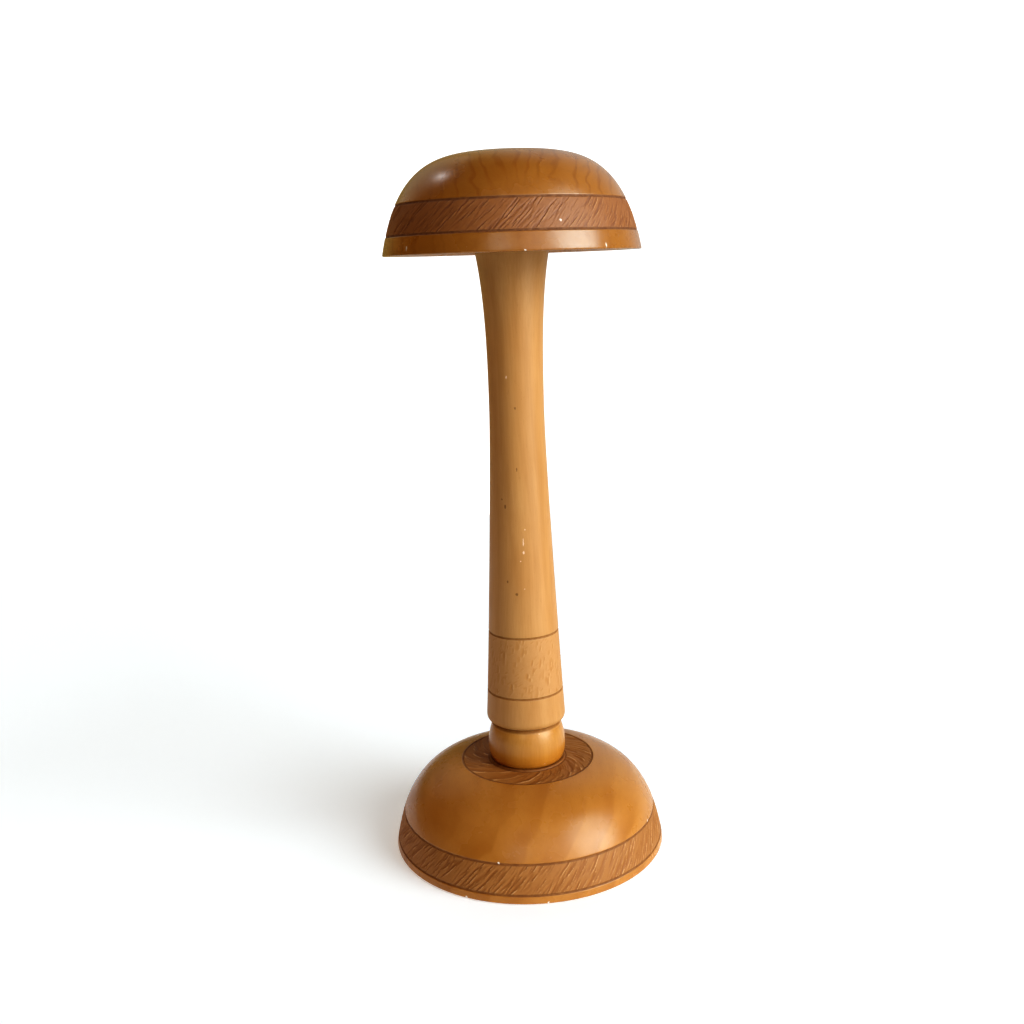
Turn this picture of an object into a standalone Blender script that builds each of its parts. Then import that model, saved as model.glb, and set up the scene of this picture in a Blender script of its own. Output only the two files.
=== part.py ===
"""Turned wooden hat stand: a domed base, a spindle stem and a mushroom cap.

The stem stands in a blind socket in the base, pulled down by a wood screw from below, and the cap
sits on the stem's flared top, held by a glued dowel. Burnt V lines ring the base, stem and cap.

Frame: metres, +Z up along the turning axis, origin on the table under the middle of the base.
"""
import math

import bpy
from mathutils import Vector

MM = 0.001

# Driving dimensions
BASE_RADIUS = 80.1 * MM         # widest, at the foot
BASE_TOP = 50.8 * MM            # height of the flat round the stem
CAP_RADIUS = 70.3 * MM          # widest, at the rim
CAP_RIM = 345.0 * MM            # height of the cap's lower edge
CAP_TOP = 397.9 * MM            # height of the whole stand
CROWN_RADIUS = 12.0 * MM        # small flat at the middle of the crown
GAP = 0.3 * MM                  # clearance between pieces that touch

# Burnt lines: a V cut where a hot wire has been held against the turning wood
LINE_WIDTH = 1.2 * MM
LINE_DEPTH = 0.8 * MM
BASE_LINES = (21.2 * MM, 5.1 * MM)
CAP_LINES = (371.5 * MM, 355.4 * MM)
STEM_LINES = (130.6 * MM, 94.9 * MM)
RING_LINES = (23.8 * MM, 38.7 * MM)     # radii of the two lines on the base's flat top

# Stem
SEAT_RADIUS = 20.3 * MM         # raised seat on the base, which the stem's shoulder covers
SEAT_OUTER = 23.1 * MM
SEAT_HEIGHT = 0.6 * MM
SHOULDER_RADIUS = 21.0 * MM
NOTCH_RADIUS = 19.0 * MM        # narrow cut between the bead and the column
NOTCH_Z = 74.6 * MM
FOOT_RADIUS = 23.15 * MM        # the column's widest, just above the notch
FOOT_Z = 79.6 * MM
FOOT_EDGE = (20.8 * MM, 75.6 * MM)      # where the foot's lower edge turns under
WAIST_RADIUS = 15.45 * MM       # the column's narrowest
WAIST_Z = 262.0 * MM
FLARE_RADIUS = 20.6 * MM        # under the cap

# Joint between the stem and the base
SPIGOT_RADIUS = 12.0 * MM
SOCKET_FLOOR = 24.0 * MM
COUNTERBORE_RADIUS = 9.0 * MM
COUNTERBORE_TOP = 12.0 * MM
SCREW_RADIUS = 2.4 * MM
SCREW_HEAD_RADIUS = 4.65 * MM
SCREW_TIP = 60.0 * MM
SCREW_HOLE = 2.8 * MM           # in the base and the stem alike
WASHER_RADIUS = 7.5 * MM
WASHER_LIP = 5.6 * MM
WASHER_HEIGHT = 2.3 * MM
SCREW_FACE = COUNTERBORE_TOP - GAP - WASHER_HEIGHT - 0.1 * MM      # flat of the head, facing down
SLOT_WIDTH = 1.2 * MM
SLOT_DEPTH = 1.1 * MM

# Joint between the stem and the cap
DISH_DEPTH = 3.0 * MM           # hollow in the cap's underside
DISH_RADIUS = 60.0 * MM
DOWEL_RADIUS = 6.0 * MM
DOWEL_REACH = 22.0 * MM         # depth of the dowel hole in the stem and in the cap
DOWEL_CHAMFER = 1.0 * MM

# Baize under the base
FELT_RADIUS = 72.0 * MM
FELT_THICKNESS = 1.2 * MM

WIDE_STEPS = 72                 # facets round the base, cap and baize
STEM_STEPS = 48
SMALL_STEPS = 24
SHARP_ANGLE = math.radians(28)

SEAT_TOP = BASE_TOP + SEAT_HEIGHT
RECESS_TOP = FELT_THICKNESS + GAP
DISH_TOP = CAP_RIM + DISH_DEPTH
STEM_TOP = DISH_TOP - GAP


def new_collection(name):
    """An empty collection in the scene."""
    collection = bpy.data.collections.new(name)
    bpy.context.scene.collection.children.link(collection)
    return collection


def principled(name, colour, roughness, metallic=0.0):
    """A plain Principled material."""
    material = bpy.data.materials.new(name)
    material.use_nodes = True
    shader = material.node_tree.nodes["Principled BSDF"]
    shader.inputs["Base Color"].default_value = (*colour, 1.0)
    shader.inputs["Roughness"].default_value = roughness
    shader.inputs["Metallic"].default_value = metallic
    material.diffuse_color = (*colour, 1.0)
    return material


def curve_point(curve, t):
    """The (radius, height) at t on a cubic Bezier curve of four control points."""
    a, b, c, d = (Vector(point) for point in curve)
    s = 1.0 - t
    return a * s ** 3 + b * (3 * s * s * t) + c * (3 * s * t * t) + d * t ** 3


def t_at_height(curve, height):
    """Where a curve that runs downwards passes a height."""
    low, high = 0.0, 1.0
    for _ in range(40):
        middle = 0.5 * (low + high)
        if curve_point(curve, middle).y > height:
            low = middle
        else:
            high = middle
    return 0.5 * (low + high)


def burnt_line(curve, height):
    """The three points of a V line, cut square into a curve at a height."""
    t = t_at_height(curve, height)
    middle = curve_point(curve, t)
    along = (curve_point(curve, t + 0.001) - middle).normalized()
    inwards = Vector((along.y, -along.x))
    half = along * (LINE_WIDTH / 2)
    return [middle - half, middle + inwards * LINE_DEPTH, middle + half]


def burnt_ring(radius, height):
    """The three points of a V line on a flat top, from the middle outwards."""
    half = LINE_WIDTH / 2
    return [(radius - half, height), (radius, height - LINE_DEPTH), (radius + half, height)]


def stretch(curve, t_start, t_end, pieces, ends=(True, True)):
    """Evenly spaced points along a curve, with or without its two end points."""
    first = 0 if ends[0] else 1
    last = pieces if ends[1] else pieces - 1
    ts = [t_start + (t_end - t_start) * i / pieces for i in range(first, last + 1)]
    return [curve_point(curve, t) for t in ts]


def lined_curve(curve, heights, pieces):
    """A curve with a burnt line at each height, and a number of pieces in each stretch between."""
    marks = [0.0] + [t_at_height(curve, height) for height in heights] + [1.0]
    points = []
    for i, count in enumerate(pieces):
        ends = (i == 0, i == len(heights))
        points += stretch(curve, marks[i], marks[i + 1], count, ends)
        if i < len(heights):
            points += burnt_line(curve, heights[i])
    return points


def turned(name, profile, steps, material, collection, closed=False):
    """A solid of revolution about Z. The profile runs down its outer side, top to bottom."""
    mesh = bpy.data.meshes.new(name)
    count = len(profile)
    edges = [(i, i + 1) for i in range(count - 1)]
    if closed:
        edges.append((count - 1, 0))
    mesh.from_pydata([(radius, 0.0, height) for radius, height in profile], edges, [])
    piece = bpy.data.objects.new(name, mesh)
    collection.objects.link(piece)
    screw = piece.modifiers.new("Turn", "SCREW")
    screw.axis = "Z"
    screw.angle = math.tau
    screw.steps = steps
    screw.render_steps = steps
    screw.use_merge_vertices = True
    screw.merge_threshold = 0.00001
    bpy.context.view_layer.objects.active = piece
    bpy.ops.object.modifier_apply(modifier=screw.name)
    mesh.materials.append(material)
    mesh.shade_smooth()
    mesh.set_sharp_from_angle(angle=SHARP_ANGLE)
    return piece


def base_profile():
    """Dome with a flat top, a stem socket, a screw hole and a recessed underside."""
    dome = (
        (RING_LINES[1], BASE_TOP),
        (67.5 * MM, 47.0 * MM),
        (76.0 * MM, 25.0 * MM),
        (BASE_RADIUS, 1.2 * MM),
    )
    socket = SPIGOT_RADIUS + GAP
    flat_top = [
        (socket, SEAT_TOP),
        (SEAT_RADIUS, SEAT_TOP),
        (SEAT_OUTER - 0.5 * MM, BASE_TOP + 0.1 * MM),
    ]
    side = lined_curve(dome, BASE_LINES, (9, 4, 1))[1:]
    underside = [
        (BASE_RADIUS - 0.8 * MM, GAP),
        (FELT_RADIUS + GAP, GAP),
        (FELT_RADIUS + GAP, RECESS_TOP),
        (COUNTERBORE_RADIUS, RECESS_TOP),
        (COUNTERBORE_RADIUS, COUNTERBORE_TOP),
        (SCREW_HOLE, COUNTERBORE_TOP),
        (SCREW_HOLE, SOCKET_FLOOR),
        (socket, SOCKET_FLOOR),
    ]
    rings = burnt_ring(RING_LINES[0], BASE_TOP) + burnt_ring(RING_LINES[1], BASE_TOP)
    return flat_top + rings + side + underside


def stem_profile():
    """Spindle: dowel hole, flare, waist, foot, V notch, bead, shoulder, spigot and pilot hole."""
    hole_floor = STEM_TOP - DOWEL_REACH
    flare = (
        (FLARE_RADIUS, STEM_TOP),
        (15.4 * MM, 321.0 * MM),
        (WAIST_RADIUS, 287.0 * MM),
        (WAIST_RADIUS, WAIST_Z),
    )
    column = (
        (WAIST_RADIUS, WAIST_Z),
        (WAIST_RADIUS, 228.0 * MM),
        (21.6 * MM, 105.0 * MM),
        (FOOT_RADIUS, FOOT_Z),
    )
    foot = (
        (FOOT_RADIUS, FOOT_Z),
        (FOOT_RADIUS, 77.6 * MM),
        (22.6 * MM, 76.2 * MM),
        FOOT_EDGE,
    )
    bead = (
        (NOTCH_RADIUS, NOTCH_Z),
        (21.6 * MM, 73.2 * MM),
        (25.0 * MM, 58.5 * MM),
        (SHOULDER_RADIUS, SEAT_TOP + GAP),
    )
    bore = [(0.0, hole_floor), (DOWEL_RADIUS + GAP, hole_floor), (DOWEL_RADIUS + GAP, STEM_TOP)]
    outside = stretch(flare, 0.0, 1.0, 6, ends=(True, False))
    outside += lined_curve(column, STEM_LINES, (7, 1, 1))[:-1]
    outside += stretch(foot, 0.0, 1.0, 3)
    outside += stretch(bead, 0.0, 1.0, 6)
    spigot = [
        (SPIGOT_RADIUS, SEAT_TOP + GAP),
        (SPIGOT_RADIUS, SOCKET_FLOOR + GAP),
        (SCREW_HOLE, SOCKET_FLOOR + GAP),
        (SCREW_HOLE, SCREW_TIP),
        (0.0, SCREW_TIP + 1.5 * MM),
    ]
    return bore + outside + spigot


def cap_profile():
    """Mushroom cap: flat crown, dome, plain rim, shallow dish below and a blind dowel hole."""
    dome = (
        (CROWN_RADIUS, CAP_TOP),
        (37.0 * MM, CAP_TOP),
        (60.9 * MM, 394.5 * MM),
        (CAP_RADIUS, CAP_RIM + 0.6 * MM),
    )
    hole_top = DISH_TOP + DOWEL_REACH
    underside = [
        (CAP_RADIUS - 0.8 * MM, CAP_RIM),
        (DISH_RADIUS + 4.0 * MM, CAP_RIM),
        (DISH_RADIUS, DISH_TOP),
        (DOWEL_RADIUS + GAP, DISH_TOP),
        (DOWEL_RADIUS + GAP, hole_top),
        (0.0, hole_top),
    ]
    return [(0.0, CAP_TOP)] + lined_curve(dome, CAP_LINES, (9, 3, 2)) + underside


def dowel_profile():
    """Chamfered peg, half in the stem and half in the cap."""
    bottom = STEM_TOP - DOWEL_REACH + GAP
    top = DISH_TOP + DOWEL_REACH - GAP
    small = DOWEL_RADIUS - DOWEL_CHAMFER
    return [
        (0.0, top),
        (small, top),
        (DOWEL_RADIUS, top - DOWEL_CHAMFER),
        (DOWEL_RADIUS, bottom + DOWEL_CHAMFER),
        (small, bottom),
        (0.0, bottom),
    ]


def screw_profile():
    """Countersunk wood screw, point up, with its head below the washer's cone."""
    neck = SCREW_FACE + SCREW_HEAD_RADIUS - SCREW_RADIUS
    return [
        (0.0, SCREW_TIP - 0.5 * MM),
        (SCREW_RADIUS * 0.8, SCREW_TIP - 6.0 * MM),
        (SCREW_RADIUS, SCREW_TIP - 9.0 * MM),
        (SCREW_RADIUS, neck),
        (SCREW_HEAD_RADIUS, SCREW_FACE),
        (0.0, SCREW_FACE),
    ]


def washer_profile():
    """Cup washer: a flanged ring with a cone that takes the screw's head."""
    seat = COUNTERBORE_TOP - GAP
    lip = seat - WASHER_HEIGHT
    return [
        (SCREW_HOLE + 0.1 * MM, seat),
        (WASHER_RADIUS, seat),
        (WASHER_RADIUS, seat - 0.6 * MM),
        (WASHER_LIP, lip),
        (SCREW_HEAD_RADIUS + GAP, lip),
    ]


def felt_profile():
    """Thin disc, the only piece that touches the table."""
    return [(0.0, FELT_THICKNESS), (FELT_RADIUS, FELT_THICKNESS), (FELT_RADIUS, 0.0), (0.0, 0.0)]


def cut_slot(screw, collection):
    """A straight driver slot across the screw's head."""
    bpy.ops.mesh.primitive_cube_add(size=1.0, location=(0.0, 0.0, SCREW_FACE))
    cutter = bpy.context.object
    cutter.name = "slot_cutter"
    cutter.dimensions = (SCREW_HEAD_RADIUS * 3, SLOT_WIDTH, SLOT_DEPTH * 2)
    bpy.ops.object.transform_apply(location=False, rotation=False, scale=True)
    for owner in list(cutter.users_collection):
        owner.objects.unlink(cutter)
    collection.objects.link(cutter)
    cutter.hide_render = True
    cutter.display_type = "WIRE"
    cut = screw.modifiers.new("Slot", "BOOLEAN")
    cut.operation = "DIFFERENCE"
    cut.solver = "EXACT"
    cut.object = cutter


def main():
    for thing in list(bpy.data.objects):
        bpy.data.objects.remove(thing, do_unlink=True)
    stand = new_collection("hat_stand")
    cutters = new_collection("cutters")

    honey = principled("honey_lacquered_wood", (0.42, 0.17, 0.04), 0.22)
    crown = principled("crown_lacquered_wood", (0.40, 0.15, 0.035), 0.20)
    blond = principled("blond_spindle_wood", (0.56, 0.28, 0.10), 0.38)
    beech = principled("raw_beech", (0.62, 0.42, 0.24), 0.65)
    steel = principled("zinc_steel", (0.56, 0.56, 0.55), 0.35, 1.0)
    brass = principled("brass", (0.72, 0.50, 0.20), 0.30, 1.0)
    baize = principled("green_baize", (0.03, 0.11, 0.05), 0.95)

    turned("base", base_profile(), WIDE_STEPS, honey, stand, closed=True)
    turned("stem", stem_profile(), STEM_STEPS, blond, stand)
    turned("cap", cap_profile(), WIDE_STEPS, crown, stand)
    turned("cap_dowel", dowel_profile(), SMALL_STEPS, beech, stand)
    screw = turned("stem_screw", screw_profile(), SMALL_STEPS, steel, stand)
    turned("screw_washer", washer_profile(), SMALL_STEPS, brass, stand, closed=True)
    turned("base_felt", felt_profile(), WIDE_STEPS, baize, stand)
    cut_slot(screw, cutters)


main()
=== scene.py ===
"""Looks of the turned wooden hat stand: carved bands, burnt lines, lacquered wood, baize.

Every piece is turned, so each one is an outline swept round Z, with relief pressed into it along
its normal: V lines, gouge cuts, tool marks, a screw thread or a dowel's flutes.
Lengths are in millimetres until a mesh is made, and metres in the scene.
"""
import itertools
import math
from typing import NamedTuple

import bpy
import numpy as np
from mathutils import Matrix, Vector


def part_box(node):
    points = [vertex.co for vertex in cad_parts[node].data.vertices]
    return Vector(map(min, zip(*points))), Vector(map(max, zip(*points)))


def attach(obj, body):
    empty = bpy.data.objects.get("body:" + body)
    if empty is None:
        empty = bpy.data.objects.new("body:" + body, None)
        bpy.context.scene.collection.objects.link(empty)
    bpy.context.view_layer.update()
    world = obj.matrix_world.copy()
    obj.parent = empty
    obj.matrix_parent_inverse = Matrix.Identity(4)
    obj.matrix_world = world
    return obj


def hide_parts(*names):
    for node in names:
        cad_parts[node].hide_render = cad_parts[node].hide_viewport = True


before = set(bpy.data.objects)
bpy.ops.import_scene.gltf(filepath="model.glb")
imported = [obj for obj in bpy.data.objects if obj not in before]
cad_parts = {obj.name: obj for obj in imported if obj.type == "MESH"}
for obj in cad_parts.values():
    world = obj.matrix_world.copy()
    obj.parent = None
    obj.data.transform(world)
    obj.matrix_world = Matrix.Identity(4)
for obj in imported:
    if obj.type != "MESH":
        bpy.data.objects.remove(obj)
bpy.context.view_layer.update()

MM = 0.001

# Light from the two halves of the pale sheet behind, and from a warm wall on the left
LEFT_SHEET = (0.34, 0.27, 0.09)
RIGHT_SHEET = (0.52, 0.58, 0.60)
WARM_WALL = (0.42, 0.13, 0.0)

# Sizes read from the frame
BASE_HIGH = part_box("base")[1] / MM
STEM_LOW, STEM_HIGH = (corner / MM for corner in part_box("stem"))
CAP_LOW, CAP_HIGH = (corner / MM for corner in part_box("cap"))
FELT_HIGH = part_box("base_felt")[1] / MM
DOWEL_LOW, DOWEL_HIGH = (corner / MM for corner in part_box("cap_dowel"))
SCREW_LOW, SCREW_HIGH = (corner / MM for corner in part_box("stem_screw"))
WASHER_LOW, WASHER_HIGH = (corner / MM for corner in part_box("screw_washer"))

# Clearance between pieces, and sizes inside the joints
GAP = 0.3
SEAT_HEIGHT = 0.6
BASE_TOP = BASE_HIGH.z - SEAT_HEIGHT
SOCKET_RADIUS = 12.3
SCREW_HOLE = 2.8
DOWEL_HOLE = 6.3

# Burnt V lines. The mesh has even rows across each, a little past its edges
LINE_WIDTH = 1.8
LINE_DEPTH = 0.4
LINE_REACH = 0.62 * LINE_WIDTH
LINE_ROW = LINE_WIDTH / 11
BASE_LINES = ((75.6, 21.2), (79.6, 5.1))
RING_LINES = ((23.8, BASE_TOP), (38.7, BASE_TOP))
CAP_LINES = ((63.0, 371.5), (68.6, 355.4))
STEM_LINES = ((20.4, 130.6), (22.3, 94.9))

# Middle radius of each carved zone
RING_RADIUS = 30.0
BASE_BAND_RADIUS = 77.5
CAP_BAND_RADIUS = 65.5
TOOLED_RADIUS = 21.4

# Facets round each piece: a carved zone has a whole multiple of its neighbours' number
COARSE = 240
RING_FINE = 480
BAND_FINE = 1200
STEM_COARSE = 144
STEM_FINE = 432
SMALL = 96


class Outline:
    """A turned profile, running down its outer side: a dense line of (radius, height) points, and
    the places along it, its knots, where the mesh has a row."""

    def __init__(self):
        self.points = []
        self.knots = []

    def line(self, *points):
        """Straight runs with a knot at each point."""
        for point in points:
            self.points.append(tuple(point))
            self.knots.append(len(self.points) - 1)
        return self

    def corner(self, before, point, after, radius, pieces=4):
        """A rounded corner at a point, between its neighbours."""
        p = np.array(point, float)
        a = np.array(before, float) - p
        b = np.array(after, float) - p
        a = p + a / np.linalg.norm(a) * radius
        b = p + b / np.linalg.norm(b) * radius
        for t in np.linspace(0.0, 1.0, pieces + 1):
            self.line(a * (1 - t) ** 2 + p * (2 * t * (1 - t)) + b * t ** 2)
        return self

    def rounded(self, points, radius):
        """Straight runs whose inner corners are rounded."""
        self.line(points[0])
        for before, point, after in zip(points, points[1:], points[2:]):
            self.corner(before, point, after, radius)
        return self.line(points[-1])

    def curve(self, a, b, c, d, spacing):
        """A cubic Bezier curve with knots about every spacing."""
        t = np.linspace(0.0, 1.0, 600)[:, None]
        a, b, c, d = (np.array(p, float) for p in (a, b, c, d))
        run = a * (1 - t) ** 3 + 3 * b * t * (1 - t) ** 2 + 3 * c * t * t * (1 - t) + d * t ** 3
        length = np.linalg.norm(np.diff(run, axis=0), axis=1).sum()
        pieces = max(2, round(length / spacing))
        first = len(self.points)
        self.points += [tuple(p) for p in run]
        self.knots += [first + round(i * (len(run) - 1) / pieces) for i in range(pieces + 1)]
        return self

    def measure(self):
        """Arc length at each dense point, and the outward normal there."""
        line = np.array(self.points, float)
        step = np.linalg.norm(np.diff(line, axis=0), axis=1)
        kept = np.concatenate([[True], step > 1e-6])
        where = np.cumsum(kept) - 1
        self.xy = line[kept]
        self.s = np.concatenate([[0.0], np.cumsum(step[step > 1e-6])])
        self.rows = np.unique(self.s[where[self.knots]])
        tangent = np.gradient(self.xy, self.s, axis=0)
        tangent /= np.linalg.norm(tangent, axis=1)[:, None]
        self.normal = np.stack([-tangent[:, 1], tangent[:, 0]], axis=1)
        return self

    def find(self, point):
        """Arc length of the place nearest to a (radius, height) point."""
        return self.s[np.argmin(np.linalg.norm(self.xy - np.array(point), axis=1))]

    def at(self, s):
        """Places and normals at arc lengths."""
        place = np.stack([np.interp(s, self.s, self.xy[:, k]) for k in (0, 1)], axis=1)
        normal = np.stack([np.interp(s, self.s, self.normal[:, k]) for k in (0, 1)], axis=1)
        return place, normal / np.linalg.norm(normal, axis=1)[:, None]

    def refine(self, start, end, spacing):
        """Puts even rows between two arc lengths in place of the knots there."""
        count = max(2, round((end - start) / spacing) + 1)
        keep = (self.rows < start - 0.2 * spacing) | (self.rows > end + 0.2 * spacing)
        self.rows = np.unique(np.concatenate([self.rows[keep], np.linspace(start, end, count)]))
        return self


def burn_rows(outline, places):
    """Rows across each burnt line. Returns the lines' arc lengths."""
    centres = [outline.find(place) for place in places]
    for centre in centres:
        outline.refine(centre - LINE_REACH, centre + LINE_REACH, LINE_ROW)
    return centres


def burnt(s, centres):
    """How far into a burnt line each arc length is, from 0 outside to 1 at the bottom."""
    inside = np.zeros_like(s)
    for centre in centres:
        inside = np.maximum(inside, 1.0 - np.abs(s - centre) / (0.5 * LINE_WIDTH))
    return inside


def smoothstep(low, high, x):
    t = np.clip((x - low) / (high - low), 0.0, 1.0)
    return t * t * (3.0 - 2.0 * t)


class Gouge(NamedTuple):
    """One layer of gouge cuts round a band. width, depth and length are ranges."""

    lean: float             # degrees from level
    pitch: float            # step round the band
    width: tuple            # half of a cut's width
    depth: tuple
    length: tuple
    bend: float = 0.0
    patchy: float = 0.0     # share of the band, in soft patches, where the cuts get faint


RING_GOUGES = (
    Gouge(42, 3.0, (1.0, 2.0), (0.15, 0.38), (10, 18), 0.012),
    Gouge(42, 1.3, (0.4, 0.7), (0.12, 0.34), (5, 16), 0.012, 0.2),
)
BASE_BAND_GOUGES = (
    Gouge(50, 1.2, (0.45, 0.75), (0.16, 0.5), (6, 20), 0.0, 0.25),
    Gouge(53, 0.7, (0.35, 0.5), (0.12, 0.45), (3, 10), 0.0, 0.35),
)
CAP_BAND_GOUGES = (
    Gouge(46, 1.0, (0.38, 0.6), (0.12, 0.4), (5, 18), 0.0, 0.25),
    Gouge(49, 0.6, (0.3, 0.42), (0.1, 0.36), (3, 9), 0.0, 0.35),
)
TOOLED_GOUGES = (
    Gouge(80, 0.6, (0.5, 1.1), (0.06, 0.17), (2, 7), 0.0, 0.4),
    Gouge(40, 0.9, (0.3, 0.6), (0.05, 0.15), (1, 4), 0.0, 0.4),
)


def make_cuts(rng, zone, radius, gouges):
    """Cuts that fill a zone: angle, place, half length, direction, half width, depth, bend."""
    return [cut for gouge in gouges for cut in layer_of_cuts(rng, zone, radius, gouge)]


def layer_of_cuts(rng, zone, radius, gouge):
    """Cuts at even steps round a zone, each strayed from its step and leaning its own way."""
    count = int(math.tau * radius / gouge.pitch)
    lobes = rng.integers(5, 23, 6)
    starts = rng.uniform(0.0, math.tau, 6)
    cuts = []
    for i in range(count):
        turn = math.tau * (i + rng.uniform(-0.35, 0.35)) / count
        direction = math.radians(gouge.lean + rng.normal(0.0, 3.5))
        half = 0.5 * rng.uniform(*gouge.length)
        middle = rng.uniform(*zone)
        wave = np.sin(lobes * turn + starts + 0.25 * middle).sum() / 3.5
        cover = smoothstep(gouge.patchy - 0.35, gouge.patchy + 0.35, 0.5 + 0.5 * wave)
        strength = 0.25 + 0.75 * cover
        width = rng.uniform(*gouge.width)
        depth = rng.uniform(*gouge.depth) * strength
        bend = gouge.bend + rng.normal(0.0, 0.003)
        cuts.append((turn, middle, half, direction, width, depth, bend))
    return cuts


def carve(rows, angles, radius, cuts, burr):
    """Relief of the cuts over a grid of arc lengths and angles: V grooves, a burr on one side."""
    groove = np.zeros((len(rows), len(angles)))
    ridge = np.zeros_like(groove)
    for turn, middle, half, direction, width, depth, bend in cuts:
        u = (angles - turn + math.pi) % math.tau - math.pi
        u = u * radius
        near_u = np.nonzero(np.abs(u) < half + 3 * width)[0]
        near_v = np.nonzero(np.abs(rows - middle) < half + 3 * width)[0]
        if not len(near_u) or not len(near_v):
            continue
        across_u, down_v = np.meshgrid(u[near_u], rows[near_v] - middle)
        along = across_u * math.cos(direction) - down_v * math.sin(direction)
        across = across_u * math.sin(direction) + down_v * math.cos(direction)
        across = across + bend * along ** 2 + 0.1 * width * np.sin(along * 0.9 + turn * 40)
        taper = np.clip(1.0 - np.abs(along / half) ** 3, 0.0, 1.0)
        narrow = width * (0.5 + 0.5 * taper)
        cut = depth * taper * np.clip(1.0 - np.abs(across / narrow), 0.0, 1.0)
        lip = burr * depth * taper * np.exp(-((across - 1.2 * narrow) / (0.4 * narrow)) ** 2)
        window = np.ix_(near_v, near_u)
        groove[window] = np.maximum(groove[window], cut)
        ridge[window] = np.maximum(ridge[window], lip)
    return ridge * (groove < 0.02) - groove


def wooden_relief(lines, zones, painted_shade=None, burr=0.6, fade=0.9, sink=0.15, deep=0.45):
    """A relief for lathe, with burnt lines and carved zones, each (ends, radius, cuts). The zones lie
    sink below the plain surface. The cavity mask is 1 at deep. The third argument paints shade: it
    darkens rows between lines, in the same mask as the burnt lines."""

    def relief(rows, angles):
        inside = burnt(rows, lines)[:, None]
        carved = np.zeros((len(rows), 1))
        out = np.zeros((len(rows), len(angles)))
        for (start, end), radius, cuts in zones:
            edge = np.clip(np.minimum(rows - start, end - rows) / fade, 0.0, 1.0)[:, None]
            if edge.max() > 0:
                out += edge * (carve(rows, angles, radius, cuts, burr) - sink)
                carved = np.maximum(carved, edge)
        cavity = np.clip(-out / deep, -1.0, 1.0)
        out = np.minimum(out, 0.0) - LINE_DEPTH * inside
        # The burnt lines' mask also carries painted shade from the third argument
        burn_and_shade = np.maximum(inside, painted_shade(rows)[:, None]) if painted_shade else inside
        return out, {
            "burn_and_shade": np.broadcast_to(burn_and_shade, out.shape),
            "carved": np.broadcast_to(carved, out.shape),
            "cavity": cavity,
        }

    return relief


def ring_faces(upper, lower):
    """Faces between two rings of vertex numbers, whose counts divide each other, or a pole."""
    faces = []
    n, m = len(upper), len(lower)
    if n == 1:
        return [(upper[0], lower[j], lower[(j + 1) % m]) for j in range(m)]
    if m == 1:
        return [(upper[(j + 1) % n], upper[j], lower[0]) for j in range(n)]
    if n == m:
        return [(upper[j], lower[j], lower[(j + 1) % n], upper[(j + 1) % n]) for j in range(n)]
    if n < m:
        k = m // n
        for j in range(n):
            low = k * j - k // 2
            for i in range(low, low + k):
                faces.append((upper[j], lower[i % m], lower[(i + 1) % m]))
            faces.append((upper[j], lower[(low + k) % m], upper[(j + 1) % n]))
        return faces
    k = n // m
    for j in range(m):
        low = k * j - k // 2
        for i in range(low, low + k):
            faces.append((upper[(i + 1) % n], upper[i % n], lower[j]))
        faces.append((lower[j], lower[(j + 1) % m], upper[(low + k) % n]))
    return faces


def row_groups(rows, segments, fine):
    """Runs of rows with the same number of facets: that of the zone they are in, or segments."""
    fine = sorted(fine)

    def zone_of(s):
        inside = [i for i, (start, end, _) in enumerate(fine) if start < s < end]
        return inside[0] if inside else None

    for zone, group in itertools.groupby(rows, zone_of):
        yield np.array(list(group)), segments if zone is None else fine[zone][2]


def lathe(name, outline, segments, relief=None, fine=(), closed=False):
    """Sweeps an outline round Z. fine lists (start, end, segments) zones with more facets. relief
    gives, for a run of rows and angles, how far each point stands out and its mask values."""
    vertices, rings, masks = [], [], {}
    for rows, count in row_groups(outline.rows, segments, fine):
        angles = np.arange(count) * math.tau / count
        place, normal = outline.at(rows)
        out, values = relief(rows, angles) if relief else (np.zeros((len(rows), count)), {})
        radius = place[:, :1] + normal[:, :1] * out
        height = place[:, 1:] + normal[:, 1:] * out
        grid = np.stack([radius * np.cos(angles), radius * np.sin(angles), height], axis=2)
        for i in range(len(rows)):
            at_pole = abs(place[i, 0]) < 1e-6
            picked = slice(0, 1) if at_pole else slice(None)
            rings.append(list(range(len(vertices), len(vertices) + (1 if at_pole else count))))
            vertices.extend(grid[i, picked])
            for key in values:
                masks.setdefault(key, []).extend(values[key][i, picked])
    faces = []
    for upper, lower in zip(rings, rings[1:] + rings[:1] if closed else rings[1:]):
        faces += ring_faces(upper, lower)
    mesh = bpy.data.meshes.new(name)
    mesh.from_pydata((np.array(vertices) * MM).tolist(), [], faces)
    for key, values in masks.items():
        attribute = mesh.attributes.new(key, "FLOAT", "POINT")
        attribute.data.foreach_set("value", np.array(values, np.float32))
    mesh.shade_smooth()
    piece = bpy.data.objects.new(name, mesh)
    bpy.context.scene.collection.objects.link(piece)
    return piece


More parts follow.
